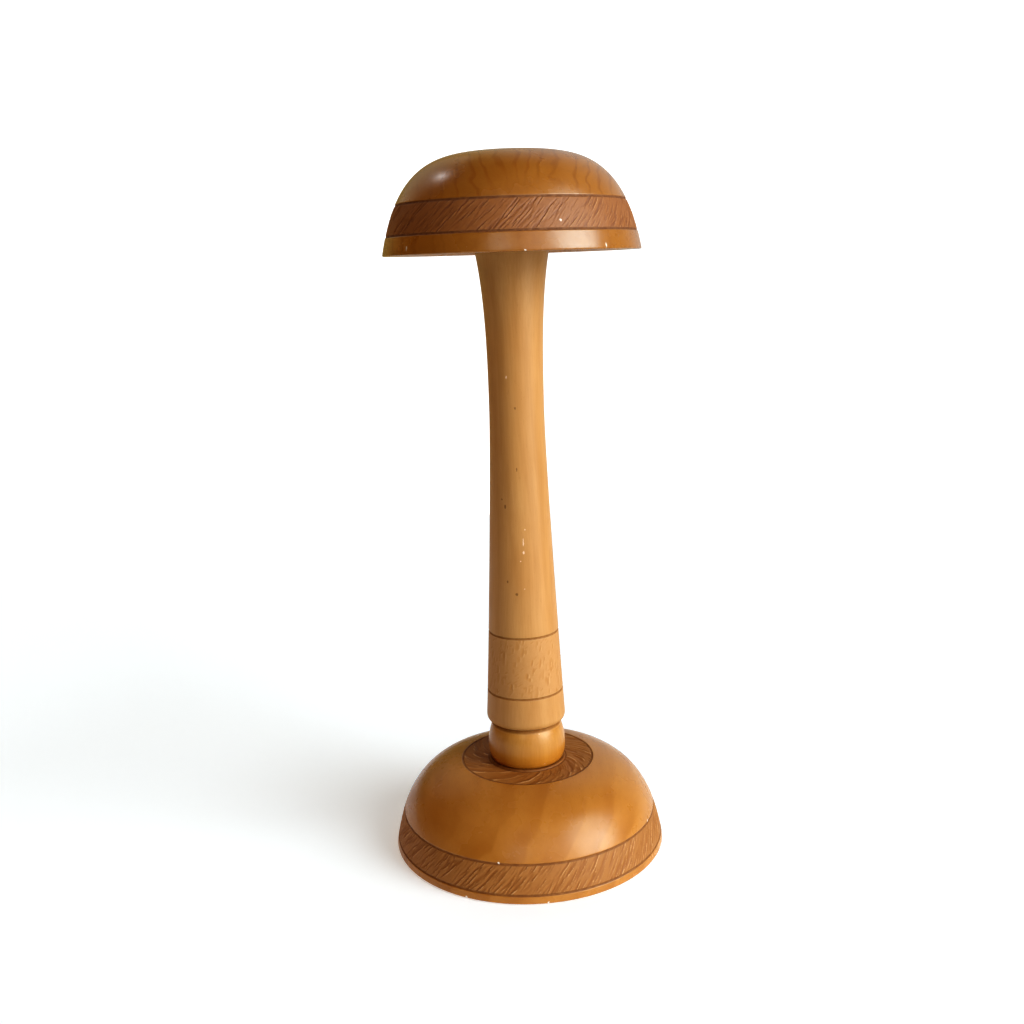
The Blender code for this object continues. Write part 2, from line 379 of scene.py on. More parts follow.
def base_outline():
    """Seat, flat top, dome, foot, recessed underside, counterbore, screw hole and socket."""
    outline = Outline()
    seat = ((SOCKET_RADIUS, BASE_HIGH.z), (22.4, BASE_HIGH.z), (23.0, BASE_TOP))
    outline.line(seat[0]).corner(seat[0], seat[1], seat[2], 0.5)
    for radius in (23.0, 27.0, 31.0, 35.0):
        outline.line((radius, BASE_TOP))
    foot = BASE_HIGH.x
    outline.curve((RING_LINES[1][0], BASE_TOP), (67.5, 47.0), (76.0, 25.0), (foot, 1.2), 1.6)
    outline.corner((foot, 1.2), (foot - 0.05, GAP), (foot - 1.5, GAP), 0.8)
    recess = FELT_HIGH.x + GAP
    ceiling = FELT_HIGH.z + GAP
    outline.rounded(((recess + 1.0, GAP), (recess, GAP), (recess, ceiling)), 0.3)
    outline.line((recess, ceiling), (60.0, ceiling), (30.0, ceiling), (9.0, ceiling))
    outline.line((9.0, 12.0), (SCREW_HOLE, 12.0), (SCREW_HOLE, 24.0), (SOCKET_RADIUS, 24.0))
    return outline.measure()


def make_base():
    outline = base_outline()
    lines = burn_rows(outline, RING_LINES + BASE_LINES)
    outline.refine(lines[0] + LINE_REACH, lines[1] - LINE_REACH, 0.42)
    outline.refine(lines[2] + LINE_REACH, lines[3] - LINE_REACH, 0.41)
    ring, band = lines[:2], lines[2:]
    rng = np.random.default_rng(11)
    zones = (
        (ring, RING_RADIUS, make_cuts(rng, ring, RING_RADIUS, RING_GOUGES)),
        (band, BASE_BAND_RADIUS, make_cuts(rng, band, BASE_BAND_RADIUS, BASE_BAND_GOUGES)),
    )

    def painted_shade(rows):
        """Painted shade inside the carved ring, round the stem's seat."""
        return 0.6 * (rows < lines[0])

    fine = [(*ring, RING_FINE), (*band, BAND_FINE)]
    relief = wooden_relief(lines, zones, painted_shade)
    return lathe("turned_base", outline, COARSE, relief, fine, closed=True)


def cap_outline():
    """Crown, dome, rim, dish below and a blind dowel hole."""
    rim, top, wide = CAP_LOW.z, CAP_HIGH.z, CAP_HIGH.x
    dish = STEM_HIGH.z + GAP
    outline = Outline().line((0.0, top), (4.0, top), (8.0, top))
    outline.curve((12.0, top), (37.0, top), (60.9, 394.5), (wide, rim + 0.9), 1.6)
    outline.corner((wide, rim + 0.9), (wide + 0.02, rim), (wide - 3.0, rim), 0.8)
    outline.rounded(((66.0, rim), (64.0, rim), (60.0, dish), (50.0, dish)), 1.2)
    outline.line((35.0, dish), (22.0, dish), (DOWEL_HOLE, dish))
    outline.line((DOWEL_HOLE, DOWEL_HIGH.z + GAP), (0.0, DOWEL_HIGH.z + GAP))
    return outline.measure()


def make_cap():
    outline = cap_outline()
    band = burn_rows(outline, CAP_LINES)
    outline.refine(band[0] + LINE_REACH, band[1] - LINE_REACH, 0.3)
    rng = np.random.default_rng(23)
    zone = (band, CAP_BAND_RADIUS, make_cuts(rng, band, CAP_BAND_RADIUS, CAP_BAND_GOUGES))
    relief = wooden_relief(band, [zone])
    return lathe("turned_cap", outline, COARSE, relief, [(*band, BAND_FINE)])


def stem_outline():
    """Dowel hole, flare, waist, column, foot, notch, bead, shoulder, spigot and pilot hole."""
    top = STEM_HIGH.z
    hole = DOWEL_LOW.z - GAP
    shoulder = BASE_HIGH.z + GAP
    outline = Outline().line((0.0, hole), (DOWEL_HOLE, hole), (DOWEL_HOLE, top), (14.0, top))
    outline.curve((20.6, top), (15.4, 321.0), (15.45, 287.0), (15.45, 262.0), 3.0)
    outline.curve((15.45, 262.0), (15.45, 228.0), (21.6, 105.0), (STEM_HIGH.x, 79.6), 3.0)
    outline.curve((STEM_HIGH.x, 79.6), (STEM_HIGH.x, 77.6), (22.6, 76.2), (20.8, 75.6), 0.3)
    outline.line((20.0, 75.15), (19.4, 74.85))
    outline.curve((19.05, 74.6), (21.6, 73.2), (25.0, 58.5), (21.0, shoulder), 0.7)
    outline.line((12.0, shoulder), (12.0, STEM_LOW.z), (SCREW_HOLE, STEM_LOW.z))
    outline.line((SCREW_HOLE, SCREW_HIGH.z + 0.5), (0.0, SCREW_HIGH.z + 2.0))
    return outline.measure()


def make_stem():
    outline = stem_outline()
    band = burn_rows(outline, STEM_LINES)
    outline.refine(band[0] + LINE_REACH, band[1] - LINE_REACH, 0.42)
    notch = outline.find((19.4, 74.4))
    bead_low = outline.find((21.0, BASE_HIGH.z + GAP))
    rng = np.random.default_rng(5)
    zone = (band, TOOLED_RADIUS, make_cuts(rng, band, TOOLED_RADIUS, TOOLED_GOUGES))

    def painted_shade(rows):
        """Painted shade in the notch above the bead, and a little darker towards the bead's foot."""
        notch_shade = 0.75 * np.exp(-((rows - notch) / 1.5) ** 2)
        return np.maximum(notch_shade, 0.15 * smoothstep(bead_low - 4.0, bead_low, rows))

    relief = wooden_relief(band, [zone], painted_shade, burr=0.3, fade=1.2, sink=0.04, deep=0.2)
    return lathe("turned_stem", outline, STEM_COARSE, relief, [(*band, STEM_FINE)])


def make_dowel():
    """Fluted peg with chamfered ends."""
    low, high, wide = DOWEL_LOW.z, DOWEL_HIGH.z, DOWEL_HIGH.x
    outline = Outline().line((0.0, high), (wide - 1.0, high), (wide, high - 1.0))
    outline.line((wide, high - 2.5), (wide, low + 2.5), (wide, low + 1.0))
    outline.line((wide - 1.0, low), (0.0, low)).measure()

    def relief(rows, angles):
        flute = np.clip(np.cos(angles * 12) - 0.2, 0.0, 1.0)[None, :] ** 0.7
        middle = ((rows > low_s) & (rows < high_s)).astype(float)[:, None]
        return -0.35 * flute * middle, {}

    low_s = outline.find((wide, high - 1.5))
    high_s = outline.find((wide, low + 1.5))
    return lathe("fluted_dowel", outline, SMALL, relief)


def make_screw():
    """Countersunk wood screw, point up: plain shank below, thread above, slot across the head."""
    face, tip, head = SCREW_LOW.z, SCREW_HIGH.z, SCREW_HIGH.y
    shank, pitch, thread_start = 2.4, 2.2, 30.0
    neck = face + head - shank
    outline = Outline().line((0.0, tip))
    outline.curve((0.05, tip), (1.2, tip - 3.0), (shank, tip - 6.0), (shank, tip - 10.0), 0.3)
    low, high = (shank, thread_start), (shank, tip - 10.0)
    outline.curve(high, (shank, tip - 12.0), (shank, thread_start + 2.0), low, 0.3)
    outline.line((shank, neck), (head, face + 0.15), (head - 0.1, face), (0.0, face)).measure()
    begin = outline.find(low)

    def relief(rows, angles):
        place, _ = outline.at(rows)
        phase = (place[:, 1:] / pitch + angles[None, :] / math.tau) % 1.0
        crest = np.exp(-((phase - 0.5) / 0.16) ** 2)
        threaded = smoothstep(begin + 1.0, begin - 3.0, rows)[:, None]
        depth = 0.28 * place[:, :1] * threaded
        return -depth * (1.0 - crest), {}

    screw = lathe("wood_screw", outline, SMALL, relief)
    bpy.ops.mesh.primitive_cube_add(size=1.0, location=(0.0, 0.0, face * MM))
    cutter = bpy.context.object
    cutter.dimensions = (head * 3 * MM, 1.2 * MM, 2.2 * MM)
    bpy.ops.object.transform_apply(location=False, rotation=False, scale=True)
    cut = screw.modifiers.new("Slot", "BOOLEAN")
    cut.operation = "DIFFERENCE"
    cut.object = cutter
    bpy.context.view_layer.objects.active = screw
    bpy.ops.object.modifier_apply(modifier=cut.name)
    bpy.data.objects.remove(cutter, do_unlink=True)
    screw.data.set_sharp_from_angle(angle=math.radians(35))
    return screw


def make_washer():
    """Pressed cup washer."""
    seat, lip, wide = WASHER_HIGH.z, WASHER_LOW.z, WASHER_HIGH.x
    outline = Outline().line((2.9, seat), (6.5, seat))
    outline.corner((6.5, seat), (wide, seat), (wide, seat - 0.6), 0.25)
    outline.corner((wide, seat), (wide, seat - 0.6), (wide - 0.5, seat - 0.6), 0.25)
    outline.curve((6.8, seat - 0.6), (6.2, seat - 0.9), (6.0, lip + 0.4), (5.5, lip), 0.25)
    outline.corner((5.5, lip), (5.2, lip), (4.9, lip + 0.1), 0.1)
    outline.line((4.95, lip + 0.05)).measure()
    return lathe("cup_washer", outline, SMALL, closed=True)


def make_felt():
    """Baize disc with a soft cut edge."""
    wide, thick = FELT_HIGH.x, FELT_HIGH.z
    outline = Outline().line((0.0, thick))
    for radius in (15.0, 30.0, 45.0, 60.0, 68.0):
        outline.line((radius, thick))
    outline.corner((60.0, thick), (wide, thick), (wide, 0.0), 0.35)
    outline.corner((wide, thick), (wide, 0.0), (60.0, 0.0), 0.35)
    for radius in (68.0, 60.0, 45.0, 30.0, 15.0, 0.0):
        outline.line((radius, 0.0))
    outline.measure()
    edge_start = outline.find((wide - 1.0, thick))
    edge_end = outline.find((wide - 1.0, 0.0))

    def relief(rows, angles):
        rng = np.random.default_rng(3)
        fuzz = rng.uniform(0.0, 0.12, (len(rows), len(angles)))
        edge = ((rows > edge_start) & (rows < edge_end)).astype(float)[:, None]
        return -fuzz * edge, {}

    return lathe("baize_disc", outline, COARSE, relief)


class Shader:
    """A material's node tree, built with short calls."""

    def __init__(self, name):
        self.material = bpy.data.materials.new(name)
        self.material.use_nodes = True
        self.tree = self.material.node_tree
        self.bsdf = self.tree.nodes["Principled BSDF"]
        coords = self.add("ShaderNodeTexCoord").outputs["Object"]
        self.place = self.vector("SCALE", coords, scale=1.0 / MM)

    def add(self, kind, **settings):
        node = self.tree.nodes.new(kind)
        for key, value in settings.items():
            setattr(node, key, value)
        return node

    def feed(self, socket, value):
        if isinstance(value, bpy.types.NodeSocket):
            self.tree.links.new(value, socket)
        elif value is not None:
            socket.default_value = value

    def math(self, operation, a, b=None, clamp=False):
        node = self.add("ShaderNodeMath", operation=operation, use_clamp=clamp)
        for socket, value in zip(node.inputs, (a, b)):
            self.feed(socket, value)
        return node.outputs[0]

    def vector(self, operation, a, b=None, scale=None):
        node = self.add("ShaderNodeVectorMath", operation=operation)
        self.feed(node.inputs[0], a)
        self.feed(node.inputs[1], b)
        if scale is not None:
            self.feed(node.inputs["Scale"], scale)
        return node.outputs["Value" if operation in ("DOT_PRODUCT", "LENGTH") else "Vector"]

    def turned(self, vector, rotation):
        node = self.add("ShaderNodeMapping")
        self.feed(node.inputs["Vector"], vector)
        node.inputs["Rotation"].default_value = [math.radians(a) for a in rotation]
        return node.outputs[0]

    def noise(self, vector, scale, detail=3.0, roughness=0.5, distortion=0.0, colour=False):
        node = self.add("ShaderNodeTexNoise")
        self.feed(node.inputs["Vector"], vector)
        node.inputs["Scale"].default_value = scale
        node.inputs["Detail"].default_value = detail
        node.inputs["Roughness"].default_value = roughness
        node.inputs["Distortion"].default_value = distortion
        return node.outputs["Color" if colour else "Fac"]

    def remap(self, value, low, high, to_low=0.0, to_high=1.0):
        node = self.add("ShaderNodeMapRange", interpolation_type="SMOOTHSTEP")
        for socket, v in zip(node.inputs, (value, low, high, to_low, to_high)):
            self.feed(socket, v)
        return node.outputs[0]

    def mix(self, factor, a, b, blend="MIX"):
        node = self.add("ShaderNodeMix", data_type="RGBA", blend_type=blend)
        self.feed(node.inputs[0], factor)
        self.feed(node.inputs[6], (*a, 1.0) if isinstance(a, tuple) else a)
        self.feed(node.inputs[7], (*b, 1.0) if isinstance(b, tuple) else b)
        return node.outputs[2]

    def attribute(self, name):
        return self.add("ShaderNodeAttribute", attribute_name=name).outputs["Fac"]

    def bump(self, height, distance):
        node = self.add("ShaderNodeBump")
        node.inputs["Strength"].default_value = 1.0
        node.inputs["Distance"].default_value = distance
        self.feed(node.inputs["Height"], height)
        return node.outputs[0]


def put_on(outline, marks):
    """Middles of small marks on a piece's outer side, with their sizes and stretches. The radius is
    the widest of the outline close to a mark's height."""
    placed = []
    for turn, height, size, stretch in marks:
        near = np.abs(outline.xy[:, 1] - height) < 0.4
        radius = float(outline.xy[near, 0].max())
        turn = math.radians(turn)
        centre = (radius * math.cos(turn), radius * math.sin(turn), height)
        placed.append((centre, size, stretch))
    return placed


def grey(value):
    """A value as the colour that Shader.mix takes."""
    return (value, value, value)


def fleck_mask(shader, places):
    """1 inside small marks, such as chips in the finish, pits and pale spots of painted highlight,
    with ragged edges.
    """
    ragged = shader.noise(shader.place, 1.6, 2.0, colour=True)
    wobble = shader.vector("SCALE", shader.vector("SUBTRACT", ragged, (0.5, 0.5, 0.5)), scale=0.9)
    moved = shader.vector("ADD", shader.place, wobble)
    mask = 0.0
    for centre, size, stretch in places:
        away = shader.vector("SUBTRACT", moved, centre)
        away = shader.vector("MULTIPLY", away, (1.0, 1.0, 1.0 / stretch))
        inside = shader.remap(shader.vector("LENGTH", away), size, size * 0.6)
        mask = shader.math("MAXIMUM", inside, mask)
    return mask


def grown_colour(sh, look):
    """Colour of plain wood, with growth rings, streaks, fibre and pores, and the last two alone."""
    grain = sh.turned(sh.place, look["grain"])
    slow = sh.vector("MULTIPLY", grain, (1.0, 1.0, 0.4))
    warped = grain
    for scale, amount in look["warp"]:
        drift = sh.noise(slow, scale, 2.0, 0.5, colour=True)
        drift = sh.vector("SUBTRACT", drift, (0.5, 0.5, 0.5))
        warped = sh.vector("ADD", warped, sh.vector("SCALE", drift, scale=amount))

    pith = sh.vector("SUBTRACT", sh.vector("MULTIPLY", warped, (1.0, 1.0, 0.0)), look["pith"])
    rings = sh.math("DIVIDE", sh.vector("LENGTH", pith), look["ring"])
    uneven = sh.noise(sh.vector("MULTIPLY", warped, (1.0, 1.0, 0.1)), 0.05, 2.0)
    phase = sh.math("FRACT", sh.math("ADD", rings, uneven))
    late = sh.math("SUBTRACT", sh.remap(phase, look["late"], 0.86), sh.remap(phase, 0.86, 1.0))
    season = sh.remap(sh.noise(sh.vector("ADD", grain, look["patch"]), 0.022, 2.0), 0.38, 0.62)
    late = sh.math("MULTIPLY", late, sh.math("ADD", season, look["even"]), clamp=True)

    fibre = sh.noise(sh.vector("MULTIPLY", warped, (1.0, 1.0, 0.035)), 1.1, 5.0, 0.6)
    streak = sh.noise(sh.vector("MULTIPLY", warped, (1.0, 1.0, 0.06)), 0.16, 3.0, 0.55)
    cloud = sh.noise(warped, 0.02, 2.0, 0.5)
    pore = sh.noise(sh.vector("MULTIPLY", warped, (1.0, 1.0, 0.11)), 2.3, 1.0, 0.5)
    pore = sh.remap(pore, 0.66, 0.74)

    colour = sh.mix(sh.remap(cloud, 0.3, 0.7), look["light"], look["middle"])
    colour = sh.mix(sh.math("MULTIPLY", late, look["ring_amount"]), colour, look["dark"])
    colour = sh.mix(sh.remap(streak, 0.35, 0.75, 0.0, look["streak_amount"]), colour, look["dark"])
    colour = sh.mix(sh.remap(fibre, 0.3, 0.75, 0.0, look["fibre_amount"]), colour, look["dark"])
    colour = sh.mix(sh.math("MULTIPLY", pore, look["pore_amount"]), colour, look["burnt"])
    return colour, fibre, pore


def carved_colour(sh, look):
    """Cut wood: painted shade darkens the cuts and painted highlight pales their raised lips, with
    random darker blotches.
    """
    cavity = sh.attribute("cavity")
    colour = sh.mix(sh.remap(cavity, 0.3, 0.9), look["carved"], look["carved_shade_and_blotch"])
    colour = sh.mix(sh.remap(cavity, 0.3, 0.0), colour, look["carved_highlight"])
    blotch = sh.remap(sh.noise(sh.place, 0.5, 4.0, 0.7), 0.4, 0.75, 0.0, 0.3)
    return sh.mix(blotch, colour, look["carved_shade_and_blotch"])


def burn_and_shade_amount(sh, look):
    """How charred the wood is, unevenly along the burnt lines, and how much painted shade lies
    round the base's seat and in the stem's notch.
    """
    char = sh.remap(sh.noise(sh.place, 0.35, 3.0, 0.6), 0.25, 0.7, 0.7, 1.0)
    return sh.math("MULTIPLY", sh.remap(sh.attribute("burn_and_shade"), 0.0, 0.5, 0.0, look["char"]), char)


def wood_bump(sh, look, fibre, pore):
    """Raised fibre, faint turning marks, open pores and a slow unevenness of the lacquer."""
    turning = sh.noise(sh.vector("MULTIPLY", sh.place, (0.02, 0.02, 1.0)), 1.3, 3.0, 0.6)
    relief = sh.math("MULTIPLY", fibre, look["fibre_bump"])
    relief = sh.math("ADD", relief, sh.math("MULTIPLY", turning, look["turning_bump"]))
    relief = sh.math("SUBTRACT", relief, sh.math("MULTIPLY", pore, 0.5))
    relief = sh.math("ADD", relief, sh.math("MULTIPLY", sh.noise(sh.place, 0.12, 2.0), 1.2))
    return sh.bump(relief, 0.00006)


def wood(name, look, pale_spots, pits=()):
    """Lacquered turned wood, with tints and polish by height, carved and burnt zones, and marks.
    Painted shade lies in the cuts, round the base's seat and in the stem's notch, and painted
    highlight on the cuts' raised lips and on the stem's bead.
    """
    sh = Shader(name)
    colour, fibre, pore = grown_colour(sh, look)
    height = sh.vector("DOT_PRODUCT", sh.place, (0.0, 0.0, 1.0))
    for start, end, tint in look["tints"]:
        colour = sh.mix(sh.remap(height, start, end), colour, tint, "MULTIPLY")
    carved = sh.attribute("carved")
    carving = carved_colour(sh, look)
    colour = sh.mix(sh.math("MULTIPLY", carved, look["carved_amount"]), colour, carving)
    # Burnt lines, and painted shade round the base's seat and in the stem's notch, in the burnt
    # colour
    char_and_shade = burn_and_shade_amount(sh, look)
    colour = sh.mix(char_and_shade, colour, look["burnt"])

    roughness = sh.remap(sh.noise(sh.place, 0.03, 4.0, 0.6), 0.3, 0.7, *look["roughness"])
    roughness = sh.mix(sh.math("MULTIPLY", carved, 0.9), roughness, grey(0.64))
    polish = sh.remap(height, look["polished_below"], look["polished_below"] - 1.0)
    roughness = sh.mix(polish, roughness, grey(0.26))
    roughness = sh.mix(char_and_shade, roughness, grey(0.85))

    if pits:
        pitted = sh.math("MULTIPLY", fleck_mask(sh, pits), 0.6)
        colour = sh.mix(pitted, colour, look["pit"])
    # Pale chips in the finish, and on the stem's bead two pale marks of painted highlight
    pale_marks = fleck_mask(sh, pale_spots)
    colour = sh.mix(pale_marks, colour, look["pale_mark"])
    roughness = sh.mix(pale_marks, roughness, grey(0.8))
    sh.feed(sh.bsdf.inputs["Base Color"], colour)
    sh.feed(sh.bsdf.inputs["Roughness"], roughness)
    sh.feed(sh.bsdf.inputs["Normal"], wood_bump(sh, look, fibre, pore))
    sh.bsdf.inputs["Specular IOR Level"].default_value = look["specular"]
    return sh.material


# What makes the three woods differ. grain turns the growth rings' axis, in degrees, and pith and
# ring are in millimetres. A warp is a noise scale and how far it moves the grain. A tint or polish
# depends on height: the finish is darker and glossier on the stem's bead, and the bead is darker
# still towards its foot
BASE_LOOK = {
    "grain": (90, 0, -48),
    "warp": ((0.018, 14.0), (0.06, 4.0)),
    "pith": (-260.0, 40.0, 0.0),
    "ring": 17.0,
    "late": 0.1,
    "even": 0.15,
    "patch": (0.0, 0.0, 0.0),
    "light": (0.51, 0.240, 0.054),
    "middle": (0.47, 0.208, 0.040),
    "dark": (0.33, 0.118, 0.014),
    "burnt": (0.140, 0.042, 0.004),
    "carved": (0.365, 0.158, 0.036),
    "carved_shade_and_blotch": (0.285, 0.106, 0.017),
    "carved_highlight": (0.64, 0.38, 0.165),
    "carved_amount": 0.92,
    "ring_amount": 0.4,
    "streak_amount": 0.2,
    "fibre_amount": 0.1,
    "pore_amount": 0.2,
    "roughness": (0.22, 0.32),
    "fibre_bump": 0.2,
    "turning_bump": 0.2,
    "pale_mark": (0.85, 0.78, 0.68),
    "pit": (0.09, 0.03, 0.006),
    "specular": 0.36,
    "char": 0.8,
    "tints": (),
    "polished_below": -10.0,
}
CAP_LOOK = BASE_LOOK | {
    "grain": (90, 0, 4),
    "warp": ((0.02, 8.0), (0.055, 17.0), (0.2, 2.0)),
    "pith": (-900.0, -380.0, 0.0),
    "ring": 7.3,
    "late": 0.6,
    "even": 0.2,
    "patch": (40.0, 0.0, 0.0),
    "light": (0.385, 0.165, 0.030),
    "middle": (0.350, 0.142, 0.022),
    "dark": (0.23, 0.075, 0.008),
    "carved": (0.30, 0.110, 0.020),
    "carved_shade_and_blotch": (0.20, 0.062, 0.010),
    "carved_highlight": (0.54, 0.29, 0.115),
    "ring_amount": 0.45,
    "specular": 0.6,
    "char": 0.93,
}
STEM_LOOK = BASE_LOOK | {
    "grain": (0, 0, 0),
    "warp": ((0.018, 10.0),),
    "pith": (45.0, 60.0, 0.0),
    "ring": 6.0,
    "late": 0.2,
    "light": (0.530, 0.298, 0.108),
    "middle": (0.500, 0.265, 0.086),
    "dark": (0.36, 0.160, 0.036),
    "burnt": (0.20, 0.075, 0.008),
    "carved": (0.455, 0.235, 0.078),
    "carved_shade_and_blotch": (0.41, 0.195, 0.052),
    "carved_highlight": (0.56, 0.330, 0.140),
    "ring_amount": 0.15,
    "streak_amount": 0.34,
    "fibre_amount": 0.22,
    "pore_amount": 0.12,
    "roughness": (0.44, 0.54),
    "fibre_bump": 0.7,
    "specular": 0.3,
    "pale_mark": (0.74, 0.53, 0.36),
    "polished_below": 75.0,
    "tints": ((75.1, 74.5, (1.0, 0.93, 0.66)), (67.0, 52.0, (1.0, 0.84, 0.45))),
}

ZINC = (0.62, 0.62, 0.60)
BRASS = (0.75, 0.53, 0.22)


def plain_metal(name, colour, roughness, scratch):
    """Metal with fine scratches and a dull bloom."""
    sh = Shader(name)
    marks = sh.noise(sh.vector("MULTIPLY", sh.place, (0.2, 3.0, 3.0)), 2.0, 4.0, 0.6)
    bloom = sh.noise(sh.place, 0.5, 3.0)
    dull = tuple(0.6 * c for c in colour)
    sh.feed(sh.bsdf.inputs["Base Color"], sh.mix(sh.remap(bloom, 0.4, 0.75), colour, dull))
    sh.feed(sh.bsdf.inputs["Roughness"], sh.remap(marks, 0.3, 0.7, roughness, roughness + scratch))
    sh.feed(sh.bsdf.inputs["Normal"], sh.bump(marks, 0.00002))
    sh.bsdf.inputs["Metallic"].default_value = 1.0
    return sh.material


def beech_wood():
    """Unfinished beech with short dark rays."""
    sh = Shader("raw_beech_dowel")
    fibre = sh.noise(sh.vector("MULTIPLY", sh.place, (1.0, 1.0, 0.05)), 1.6, 4.0, 0.6)
    ray = sh.remap(sh.noise(sh.vector("MULTIPLY", sh.place, (1.0, 1.0, 0.3)), 2.4, 1.0), 0.62, 0.7)
    colour = sh.mix(sh.remap(fibre, 0.3, 0.7), (0.66, 0.46, 0.27), (0.52, 0.33, 0.18))
    sh.feed(sh.bsdf.inputs["Base Color"], sh.mix(ray, colour, (0.32, 0.17, 0.08)))
    sh.feed(sh.bsdf.inputs["Roughness"], sh.remap(fibre, 0.3, 0.7, 0.6, 0.75))
    sh.feed(sh.bsdf.inputs["Normal"], sh.bump(fibre, 0.0001))
    return sh.material


def green_baize():
    """Short-napped felt: matted fibres, lint and a soft sheen."""
    sh = Shader("green_baize_felt")
    nap = sh.noise(sh.place, 2.2, 5.0, 0.7, 0.6)
    matted = sh.noise(sh.place, 0.15, 3.0, 0.6)
    colour = sh.mix(sh.remap(nap, 0.3, 0.7), (0.018, 0.075, 0.032), (0.05, 0.16, 0.07))
    colour = sh.mix(sh.remap(matted, 0.4, 0.75, 0.0, 0.5), colour, (0.09, 0.15, 0.07))
    lint = sh.remap(sh.noise(sh.place, 0.9, 2.0, 0.5, 2.0), 0.72, 0.76, 0.0, 0.5)
    sh.feed(sh.bsdf.inputs["Base Color"], sh.mix(lint, colour, (0.45, 0.42, 0.36)))
    sh.feed(sh.bsdf.inputs["Roughness"], sh.remap(matted, 0.3, 0.7, 0.85, 0.97))
    sh.feed(sh.bsdf.inputs["Normal"], sh.bump(nap, 0.0004))
    sh.bsdf.inputs["Sheen Weight"].default_value = 0.35
    sh.bsdf.inputs["Sheen Roughness"].default_value = 0.5
    return sh.material


def dress(piece, node, material):
    """Gives a piece its material and body, and hides the CAD node it stands in for."""
    piece.data.materials.clear()
    piece.data.materials.append(material)
    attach(piece, "root")
    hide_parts(node)


# Chips and pits, and on the stem's bead a painted highlight: angle round the piece in degrees,
# height, size, upright stretch. The viewer's side is at -90 degrees
CAP_CHIPS = (
    (-140, 348.5, 0.6, 3.0),
    (-85, 345.5, 0.65, 1.0),
    (-48, 347, 0.55, 2.8),
    (-69, 359.5, 0.75, 1.2),
)
BASE_CHIPS = (
    (-104, 21.5, 0.8, 1.0),
    (-24, 21.5, 0.8, 1.2),
    (-117, 1, 0.9, 1.0),
    (-84, 1, 0.6, 1.4),
)
STEM_CHIPS_AND_HIGHLIGHT = (
    (-110, 279, 0.5, 2.2),
    (-82, 194, 0.4, 1.3),
    (-86, 187, 0.4, 7.5),
    (-86, 181, 0.6, 1.8),
    (-92, 176, 0.4, 1.2),
    (-86, 160, 0.4, 0.8),
    # The next two pale marks on the bead's top, where it catches the light, are painted highlight
    (-70, 72.5, 0.45, 0.6),
    (-76, 73, 0.35, 0.5),
    (-63, 54, 0.4, 0.6),
)
STEM_PITS = (
    (-94, 262, 0.6, 1.6),
    (-94, 228, 0.5, 3.0),
    (-126, 211, 0.5, 1.3),
    (-119, 207, 0.7, 1.9),
    (-116, 164, 0.7, 1.3),
    (-100, 157, 1.0, 1.0),
)


def make_floor():
    """A large pale sheet."""
    sh = Shader("pale_floor")
    speck = sh.noise(sh.place, 0.01, 4.0)
    sh.feed(sh.bsdf.inputs["Base Color"], sh.mix(speck, (0.82, 0.92, 0.99), (0.84, 0.94, 1.0)))
    sh.bsdf.inputs["Roughness"].default_value = 0.9
    sh.bsdf.inputs["Specular IOR Level"].default_value = 0.1
    sh.bsdf.inputs["Emission Color"].default_value = (1.0, 1.0, 1.0, 1.0)
    sh.bsdf.inputs["Emission Strength"].default_value = 0.26
    bpy.ops.mesh.primitive_plane_add(size=1.8)
    floor = bpy.context.object
    floor.name = "floor"
    floor.data.materials.append(sh.material)


def aim(thing, azimuth, elevation, distance, target=(0.0, 0.0, 0.2)):
    """Places a lamp at an azimuth from the viewer's side, turning towards +X, and points it."""
    az, el = math.radians(azimuth), math.radians(elevation)
    towards = Vector((math.sin(az) * math.cos(el), -math.cos(az) * math.cos(el), math.sin(el)))
    thing.location = Vector(target) + towards * distance
    thing.rotation_euler = towards.to_track_quat("Z", "Y").to_euler()


def add_sun(name, azimuth, elevation, spread, energy, gloss, tint=(1.0, 1.0, 1.0)):
    """A distant soft lamp that covers a spread of the sky in degrees. Its reflection has its own
    strength and tint."""
    for part, strength, colour in (("body", energy, (1.0, 1.0, 1.0)), ("gloss", gloss, tint)):
        lamp = bpy.data.lights.new(f"{name}_{part}", "SUN")
        lamp.energy = strength
        lamp.angle = math.radians(spread)
        lamp.color = colour
        holder = bpy.data.objects.new(lamp.name, lamp)
        holder.visible_diffuse = part == "body"
        holder.visible_glossy = part == "gloss"
        aim(holder, azimuth, elevation, 3.0)
        bpy.context.scene.collection.objects.link(holder)


def add_glint(target):
    """A small lamp behind on the left whose narrow beam only reaches the cap, as a reflection."""
    lamp = bpy.data.lights.new("glint", "SPOT")
    lamp.energy = 2.5
    lamp.shadow_soft_size = 0.05
    lamp.spot_size = math.radians(12.0)
    lamp.spot_blend = 0.3
    lamp.color = (0.95, 0.98, 1.0)
    holder = bpy.data.objects.new("glint", lamp)
    holder.visible_diffuse = False
    aim(holder, -122.0, 48.0, 1.2, target)
    bpy.context.scene.collection.objects.link(holder)


